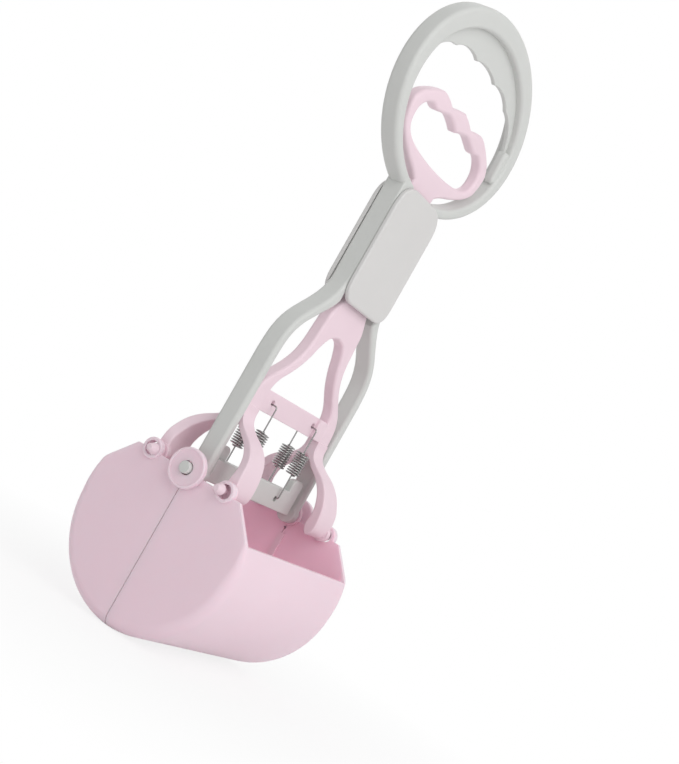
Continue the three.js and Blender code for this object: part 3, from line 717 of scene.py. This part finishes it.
def grip_outline():
    """The web's opening: a squarish upper half with finger waves, and an elliptic lower half."""
    turn = np.linspace(0.0, math.tau, 2 * RING_STEPS, endpoint=False)
    upper = np.sin(turn) > 0
    power = np.where(upper, 2 / GRIP_POWER, 1.0)
    y = GRIP_A * np.sign(np.cos(turn)) * np.abs(np.cos(turn)) ** power
    z = np.where(upper, GRIP_TOP, -GRIP_BOTTOM) * np.abs(np.sin(turn)) ** power
    out = np.abs(y)
    phase = np.where(out < CREST_Y, out / CREST_Y / 2, 0.5 + (out - CREST_Y) / CREST_STEP)
    crest = 1 - np.sqrt(np.sqrt(np.cos(math.pi * phase) ** 2 + CREST_SOFTNESS))
    wave = np.where(upper, GRIP_WAVE * crest * np.sin(turn), 0.0)
    inward = 1 - wave / np.hypot(y, z)
    return np.column_stack((y * inward, GRIP_Z + z * inward))


def arm(side):
    """One side of the neck with its arm, down to the hub at the pivot."""
    inner = through(between((MOUTH_HALF, MOUTH_Z), (ARM_IN, ARM_BEND_Z), SHOULDER_IN_SHARES))
    outer = through(between((NECK_HALF, SHOULDER_TOP), (ARM_OUT, ARM_BEND_Z), SHOULDER_OUT_SHARES))
    outline = np.vstack(([[SLOT_HALF, NECK_TOP], [SLOT_HALF, SLOT_LOW], [MOUTH_HALF, MOUTH_TOP]], inner,
                         [[ARM_IN, 0.0], [ARM_OUT, 0.0]], outer[::-1], [[NECK_HALF, NECK_TOP]]))
    edge = edge_between(ARM_EDGE_Z, NECK_EDGE_Z, ARM_EDGE, NECK_EDGE)
    return join(plate([(outline * (side, 1), edge)], -FRAME_HALF, FRAME_HALF),
                pin(0.0, 0.0, HUB_R, *across(side, ARM_IN, ARM_OUT), edge=HUB_EDGE),
                pin(0.0, 0.0, PIN_R, *across(side, ARM_IN + ARM_T / 2, PIN_END), edge=PIN_EDGE))


def spring_holes(z):
    """Two pins that cut the spring holes at a height."""
    return [pin(side * HOOK_Y, z, HOOK_R, -FRAME_HALF, FRAME_HALF, axis="X") for side in (-1, 1)]


def cross_plate():
    """The plate between the arms that holds the springs' lower ends, with a lug at each end: at +Y on its
    front, and at -Y on its back."""
    bar = rectangle(-LUG_OUT, LUG_OUT, PLATE_LOW, PLATE_TOP, PLATE_R)
    core = rectangle(-ARM_IN - SINK, ARM_IN + SINK, PLATE_LOW + PLATE_EDGE, PLATE_TOP - PLATE_EDGE)
    lug = rounded([(LUG_IN, LUG_LOW, PLATE_R), (LUG_OUT, LUG_LOW, PLATE_R), (LUG_OUT, LUG_TOP, LUG_R),
                   (LUG_IN, LUG_TOP, LUG_R)])
    whole = join(plate([(bar, PLATE_EDGE)], -PLATE_HALF, PLATE_HALF),
                 plate([(core, 0.0)], -CORE_HALF, CORE_HALF),
                 plate([(lug, PLATE_EDGE)], -SINK, PLATE_HALF),
                 plate([(lug * (-1, 1), PLATE_EDGE)], -PLATE_HALF, SINK))
    return cut(whole, *spring_holes(PLATE_HOOK_Z))


class SCOOPER_OT_frame(bpy.types.Operator):
    """Moulds the ring grip, neck, arms and cross plate"""
    bl_idname = "scooper.frame"
    bl_label = "Frame"

    def execute(self, context):
        look = context.scene.scooper_finish
        rim = ellipse(0.0, RIM_Z, RIM_A, RIM_B)
        ring = plate([(ellipse(0.0, RING_Z, RING_A, RING_B), RING_EDGE), (rim, RIM_EDGE)],
                     -FRAME_HALF, FRAME_HALF)
        web = plate([(ellipse(0.0, RIM_Z, RIM_A + WEB_SINK, RIM_B + WEB_SINK), 0.0),
                     (grip_outline(), WEB_EDGE)], -WEB_HALF, WEB_HALF)
        slot = rectangle(-SLOT_HALF, SLOT_HALF, NECK_TOP - RING_B, RIM_Z - RIM_B + SLOT_SINK)
        ring = cut(join(ring, web), plate([(slot, 0.0)], -RING_A, RING_A))
        outline = rectangle(-PAD_WIDTH / 2, PAD_WIDTH / 2, -PAD_LENGTH / 2, PAD_LENGTH / 2, PAD_R)
        for turn in (0.0, math.pi):
            pad = plate([(outline, PAD_EDGE)], -WEB_HALF, PAD_FACE)
            pad.data.transform(Matrix.Rotation(turn, 4, "Z") @ Matrix.Translation((0.0, PAD_Y, PAD_Z))
                               @ Matrix.Rotation(PAD_LEAN, 4, "X"))
            ring = join(ring, pad)
        body = join(ring, arm(-1), arm(1), cross_plate())
        finish_piece(body, "frame_moulding", "frame", ["frame"],
                     moulded_plastic("frame plastic", look.frame_colour, look.roughness, look.grain))
        return {"FINISHED"}


class SCOOPER_OT_covers(bpy.types.Operator):
    """Moulds the two plates that cover the neck"""
    bl_idname = "scooper.covers"
    bl_label = "Covers"

    def execute(self, context):
        look = context.scene.scooper_finish
        plastic = moulded_plastic("cover plastic", look.cover_colour, look.roughness, look.grain)
        outline = rounded([(-COVER_HALF, COVER_LOW, COVER_R_LOW), (COVER_HALF, COVER_LOW, COVER_R_LOW),
                           (COVER_HALF, COVER_TOP, COVER_R_TOP), (-COVER_HALF, COVER_TOP, COVER_R_TOP)],
                          COVER_STEPS)
        face = FRAME_HALF + GAP
        for node, turn in (("cover_front", 0.0), ("cover_back", math.pi)):
            thick = plate([(outline, COVER_EDGE)], face - 2 * COVER_EDGE, face + COVER_T)
            inside = plate([(rectangle(-RING_A, RING_A, 0.0, RING_Z), 0.0)], face - 3 * COVER_EDGE, face)
            finish_piece(cut(thick, inside), node + "_moulding", "frame", [node],
                         plastic, turn)
        return {"FINISHED"}


# Trigger

def leg(side, face):
    """One arched leg: rounded sections from the fork out and down to the foot."""
    foot, top = (0.0, 0.0), (STUB_X, LEG_TOP)
    upper = even(through(between(foot, top, LEG_UPPER_SHARES)), LEG_STEPS)
    lower = even(through(between(foot, top, LEG_LOWER_SHARES)), LEG_STEPS)
    inner = through(between((FORK_IN, LEG_TOP), (FORK_IN + LEG_TAPER, LEG_FOOT), LEG_IN_SHARES))[::-1]
    outer = through(between((FORK_OUT, LEG_TOP), (LEG_OUT, LEG_FOOT), LEG_OUT_SHARES))[::-1]
    sections = []
    for over, under in zip(upper, lower):
        thick = np.linalg.norm(over - under)
        height = (over[1] + under[1]) / 2
        low, high = (np.interp(height, line[:, 1], line[:, 0]) for line in (inner, outer))
        edge = min(LEG_EDGE, LEG_EDGE_SHARE * thick)
        section = rectangle(low, high, 0.0, thick, edge)
        share = section[:, 1:] / thick
        place = under + share * (over - under)
        sections.append(np.column_stack((face * place[:, 0], side * section[:, 0], place[:, 1])))
    return loft(sections)


def even(line, count):
    """The same line with points at even distances."""
    along = np.concatenate(([0.0], np.cumsum(np.linalg.norm(np.diff(line, axis=0), axis=1))))
    places = np.linspace(0.0, along[-1], count)
    return np.column_stack([np.interp(places, along, line[:, i]) for i in (0, 1)])


def stub(side, face):
    """A hinge stub: a collar inside the bucket's ear, a pin through it, and a tapered head outside it."""
    out = BUCKET_HALF + EAR_OUT + GAP
    sections = []
    for way, radius in HEAD_PROFILE:
        x, z = circle(face * STUB_X, STUB_Z, radius, HEAD_STEPS).T
        sections.append(np.column_stack((x, np.full(HEAD_STEPS, side * (out + way)), z)))
    root = LEG_OUT - WALL
    return join(pin(face * STUB_X, STUB_Z, STUB_R, *across(side, root, out + 2 * SINK), steps=STUB_STEPS),
                pin(face * STUB_X, STUB_Z, COLLAR_R, *across(side, root, COLLAR_OUT), edge=COLLAR_EDGE),
                loft(sections))


class SCOOPER_OT_trigger(bpy.types.Operator):
    """Moulds the trigger: finger loop, stem, fork, cross bar and legs"""
    bl_idname = "scooper.trigger"
    bl_label = "Trigger"

    def execute(self, context):
        look = context.scene.scooper_finish
        foot, top = (0.0, LOOP_FOOT), (LOOP_A, LOOP_TOP)
        half = np.vstack((through(between(foot, top, LOOP_OUT_SHARES)), [[STEM_HALF, LOOP_FOOT]],
                          through(between((STEM_HALF, FORK_TOP), (FORK_OUT, LEG_TOP), FORK_OUT_SHARES)),
                          [[FORK_OUT, ROOT_Z], [FORK_IN, ROOT_Z]],
                          through(between((0.0, FORK_FOOT), (FORK_IN, CROTCH_Z), FORK_IN_SHARES))))
        hole = through(between(foot, top, LOOP_HOLE_SHARES))
        edge = edge_between(FORK_EDGE_Z, LOOP_EDGE_Z, FORK_EDGE, LOOP_EDGE)
        body = plate([(both_halves(half), edge), (both_halves(hole), LOOP_EDGE)],
                     -TRIGGER_HALF, TRIGGER_HALF)
        end = FORK_IN + SINK
        block = rectangle(BLOCK_Y, end, BAR_LOW, BAR_TOP, BLOCK_R)
        parts = [plate([(rectangle(-end, end, BAR_LOW, BAR_TOP), BAR_EDGE)], -BAR_HALF, BAR_HALF),
                 plate([(block, BLOCK_EDGE)], 0.0, TRIGGER_HALF),
                 plate([(block * (-1, 1), BLOCK_EDGE)], -TRIGGER_HALF, 0.0)]
        for side in (-1, 1):
            for face in (-1, 1):
                parts += [leg(side, face), stub(side, face)]
        body = cut(join(body, *parts), *spring_holes(BAR_HOOK_Z))
        finish_piece(body, "trigger_moulding", "trigger", ["trigger"],
                     moulded_plastic("trigger plastic", look.trigger_colour, look.roughness, look.grain))
        return {"FINISHED"}


# Bucket

def drum(radius, half, edge):
    return plate([(circle(0.0, -BUCKET_DROP, radius, WALL_STEPS), edge)], -half, half, axis="Y",
                 rings=WALL_RINGS)


def bucket_half():
    """The half on the -X side, with its hub disc outside at -Y and its hub tab inside at +Y."""
    lip_x = math.sqrt(BUCKET_R ** 2 - (LIP_Z + BUCKET_DROP) ** 2)
    seam, far, floor = GAP / 2, BUCKET_R + WALL, -BUCKET_DROP - BUCKET_R - WALL
    profile = np.array([[-seam, SIDE_Z], [-SIDE_X, SIDE_Z], [-lip_x, LIP_Z], [-far, LIP_Z], [-far, floor],
                        [-seam, floor]])
    inside = BUCKET_HALF - WALL

    def half(low, high):
        """The room of this half between two places on Y."""
        return plate([(profile, 0.0)], low, high, axis="Y")

    edge = edge_between(-BUCKET_DROP - WALL, LIP_Z, BUCKET_EDGE, CORNER_EDGE)
    shell = common(drum(BUCKET_R, BUCKET_HALF, edge), half(-2 * far, 2 * far))
    above = plate([(rectangle(-far, WALL, LIP_Z, BUCKET_R), 0.0)], -inside, inside, axis="Y")
    shell = cut(shell, drum(BUCKET_R - WALL, inside, WALL), above)
    bevel = shell.modifiers.new("soft edges", "BEVEL")
    bevel.limit_method = "ANGLE"
    bevel.angle_limit = BEVEL_ANGLE
    bevel.width = LIP_EDGE
    bevel.segments = LIP_RINGS
    bake(shell)
    for side in (-1, 1):
        ear = pin(-EAR_X, EAR_Z, EAR_R, *across(side, inside, BUCKET_HALF + EAR_OUT), edge=EAR_EDGE)
        hole = pin(-EAR_X, EAR_Z, EAR_HOLE_R, *across(side, inside - WALL, BUCKET_HALF + 2 * WALL))
        shell = cut(join(shell, ear), hole)
    outer = BUCKET_HALF + DISC_OUT
    disc = pin(0.0, 0.0, DISC_R, -outer, -BUCKET_HALF - GAP, edge=DISC_EDGE, steps=DISC_STEPS)
    dish = pin(0.0, 0.0, DISC_R - DISC_RIM, -outer - WALL, -outer + DISC_DISH, edge=DISH_EDGE,
               steps=DISC_STEPS)
    seat = common(pin(0.0, 0.0, DISC_R - SINK, -BUCKET_HALF - SINK, -BUCKET_HALF + SINK),
                  half(-2 * far, 0.0))
    tab = pin(0.0, 0.0, TAB_R, inside - GAP - TAB_T, inside - GAP, edge=TAB_EDGE)
    tab_seat = common(pin(0.0, 0.0, TAB_R - SINK, inside - SINK, inside + SINK), half(0.0, 2 * far))
    shell = join(shell, cut(disc, dish), seat, tab, tab_seat, seam_lap())
    return cut(shell, pin(0.0, 0.0, PIN_R + PIN_ROOM, -outer - WALL, outer + WALL),
               pin(0.0, NOTCH_Z, NOTCH_R, -BUCKET_HALF - GAP, BUCKET_HALF + GAP, steps=NOTCH_STEPS))


def seam_lap():
    """A thin strip inside the half, at -Y. It reaches over the seam and closes its gap."""
    def strip(out, low, high):
        """The part from `low` to `high` on X that reaches `out` from the bucket's inner face."""
        span = rectangle(low, high, -BUCKET_DROP - BUCKET_R, LAP_TOP)
        slab = plate([(span, 0.0)], -BUCKET_HALF, -GAP, axis="Y")
        inner = drum(BUCKET_R - WALL - LAP_T, BUCKET_HALF - WALL - LAP_T, WALL)
        return common(cut(drum(BUCKET_R - WALL + out, BUCKET_HALF - WALL + out, WALL), inner), slab)

    return join(strip(LAP_SINK, -LAP_IN, -2 * GAP), strip(-GAP / 2, -LAP_IN, LAP_OVER))


class SCOOPER_OT_bucket(bpy.types.Operator):
    """Moulds the two bucket halves"""
    bl_idname = "scooper.bucket"
    bl_label = "Bucket"

    def execute(self, context):
        look = context.scene.scooper_finish
        # the bucket's plastic carries the painted bounce light on its inner faces
        plastic = moulded_plastic("bucket plastic", look.jaw_colour, look.roughness, look.grain,
                                  look.depth, look.inside_bounce_colour)
        for node, turn in (("jaw_left", 0.0), ("jaw_right", math.pi)):
            finish_piece(bucket_half(), node + "_moulding", node, [node], plastic, turn)
        return {"FINISHED"}


# Stage

CAMERA_PLACE = Vector((0.2897, -0.5193, 0.0963))
CAMERA_AHEAD = Vector((-0.4719, 0.8809, 0.0359))
CAMERA_ROLL = math.radians(29.57)
FILM_WIDTH, FOCAL_LENGTH = 36.0, 82.57  # in millimetres
LAMP_SIZE = 1.1  # this and the places below in metres
KEY_PLACE, FILL_PLACE = Vector((0.75, -0.35, 0.62)), Vector((-0.62, 0.6, 0.5))
LAMP_AIM = Vector((0.0, 0.0, 0.1))
FLOOR_R = 4.0
FADE_FLOOR = 0.82  # share of plain white near the object; all of it from the end of the fade
FADE_START, FADE_LENGTH = 0.05, 0.15


class SCOOPER_OT_stage(bpy.types.Operator):
    """Sets up the camera, the soft studio light and the floor"""
    bl_idname = "scooper.stage"
    bl_label = "Stage"

    def execute(self, context):
        look = context.scene.scooper_stage
        self.add_camera(context)
        self.light_world(context, look)
        self.add_lamp("key lamp", KEY_PLACE, look.key_power)
        self.add_lamp("fill lamp", FILL_PLACE, look.fill_power)
        self.add_floor(look)
        context.scene.view_settings.view_transform = "Standard"
        return {"FINISHED"}

    @staticmethod
    def add_camera(context):
        lens = bpy.data.cameras.new("camera")
        lens.sensor_fit = "HORIZONTAL"
        lens.sensor_width = FILM_WIDTH
        lens.lens = FOCAL_LENGTH
        lens.clip_start = 0.01
        camera = bpy.data.objects.new("camera", lens)
        upright = CAMERA_AHEAD.to_track_quat("-Z", "Y").to_matrix().to_4x4()
        camera.matrix_world = (Matrix.Translation(CAMERA_PLACE) @ upright
                               @ Matrix.Rotation(CAMERA_ROLL, 4, "Z"))
        context.scene.collection.objects.link(camera)
        context.scene.camera = camera

    @staticmethod
    def light_world(context, look):
        world = bpy.data.worlds.new("studio")
        world.use_nodes = True
        graph = Graph(world.node_tree)
        background = world.node_tree.nodes["Background"]
        background.inputs["Color"].default_value = (1.0, 1.0, 1.0, 1.0)
        strength = look.ambient + graph.seen_directly() * (1.0 - look.ambient)
        graph.feed(background.inputs["Strength"], strength)
        context.scene.world = world

    @staticmethod
    def add_lamp(name, place, power):
        lamp = bpy.data.lights.new(name, "AREA")
        lamp.shape = "DISK"
        lamp.size = LAMP_SIZE
        lamp.energy = power
        made = bpy.data.objects.new(name, lamp)
        aim = (LAMP_AIM - place).to_track_quat("-Z", "Y")
        made.matrix_world = Matrix.Translation(place) @ aim.to_matrix().to_4x4()
        bpy.context.scene.collection.objects.link(made)

    @staticmethod
    def add_floor(look):
        mesh = bpy.data.meshes.new("floor")
        shape = bmesh.new()
        bmesh.ops.create_circle(shape, cap_ends=True, segments=96, radius=FLOOR_R)
        shape.to_mesh(mesh)
        shape.free()
        finish = Finish("studio floor")
        finish.set("Base Color", (*look.floor_colour, 1.0))
        finish.set("Roughness", 0.9)
        away = finish.node("ShaderNodeVectorMath", {"operation": "LENGTH"}, {0: finish.place})["Value"]
        far = ((away - FADE_START) / FADE_LENGTH).clamped()
        fade = (FADE_FLOOR + (1.0 - FADE_FLOOR) * far) * finish.seen_directly()
        glow = finish.node("ShaderNodeEmission", {}, {"Color": (1.0, 1.0, 1.0, 1.0), "Strength": 1.0})
        output = finish.tree.nodes["Material Output"]
        mixed = finish.node("ShaderNodeMixShader", {}, {0: fade})
        finish.tree.links.new(finish.shader.outputs[0], mixed.node.inputs[1])
        finish.tree.links.new(glow.socket, mixed.node.inputs[2])
        finish.tree.links.new(mixed.socket, output.inputs["Surface"])
        mesh.materials.append(finish.material)
        floor = new_object("floor", mesh)


class SCOOPER_PT_panel(bpy.types.Panel):
    """Settings and steps of the scooper"""
    bl_idname = "SCOOPER_PT_panel"
    bl_label = "Scooper"
    bl_space_type = "VIEW_3D"
    bl_region_type = "UI"
    bl_category = "Scooper"

    def draw(self, context):
        for setting, cls in GROUPS.items():
            for name in cls.__annotations__:
                self.layout.prop(getattr(context.scene, setting), name)
        for operator in OPERATORS:
            self.layout.operator(operator.bl_idname)


GROUPS = {"scooper_finish": ScooperFinish, "scooper_springs": ScooperSprings,
          "scooper_stage": ScooperStage}
OPERATORS = (SCOOPER_OT_stage, SCOOPER_OT_frame, SCOOPER_OT_covers, SCOOPER_OT_trigger,
             SCOOPER_OT_bucket, SCOOPER_OT_springs)


def register():
    for cls in (*GROUPS.values(), *OPERATORS, SCOOPER_PT_panel):
        bpy.utils.register_class(cls)
    for name, cls in GROUPS.items():
        setattr(bpy.types.Scene, name, PointerProperty(type=cls))


def unregister():
    for name in GROUPS:
        delattr(bpy.types.Scene, name)
    for cls in (SCOOPER_PT_panel, *OPERATORS, *GROUPS.values()):
        bpy.utils.unregister_class(cls)


def corners(bounds):
    return [list(corner) for corner in bounds]


def main():
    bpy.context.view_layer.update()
    register()
    bpy.ops.scooper.stage()
    bpy.ops.scooper.frame()
    bpy.ops.scooper.covers()
    bpy.ops.scooper.trigger()
    bpy.ops.scooper.bucket()
    bpy.ops.scooper.springs()


if __name__ == "__main__":
    main()
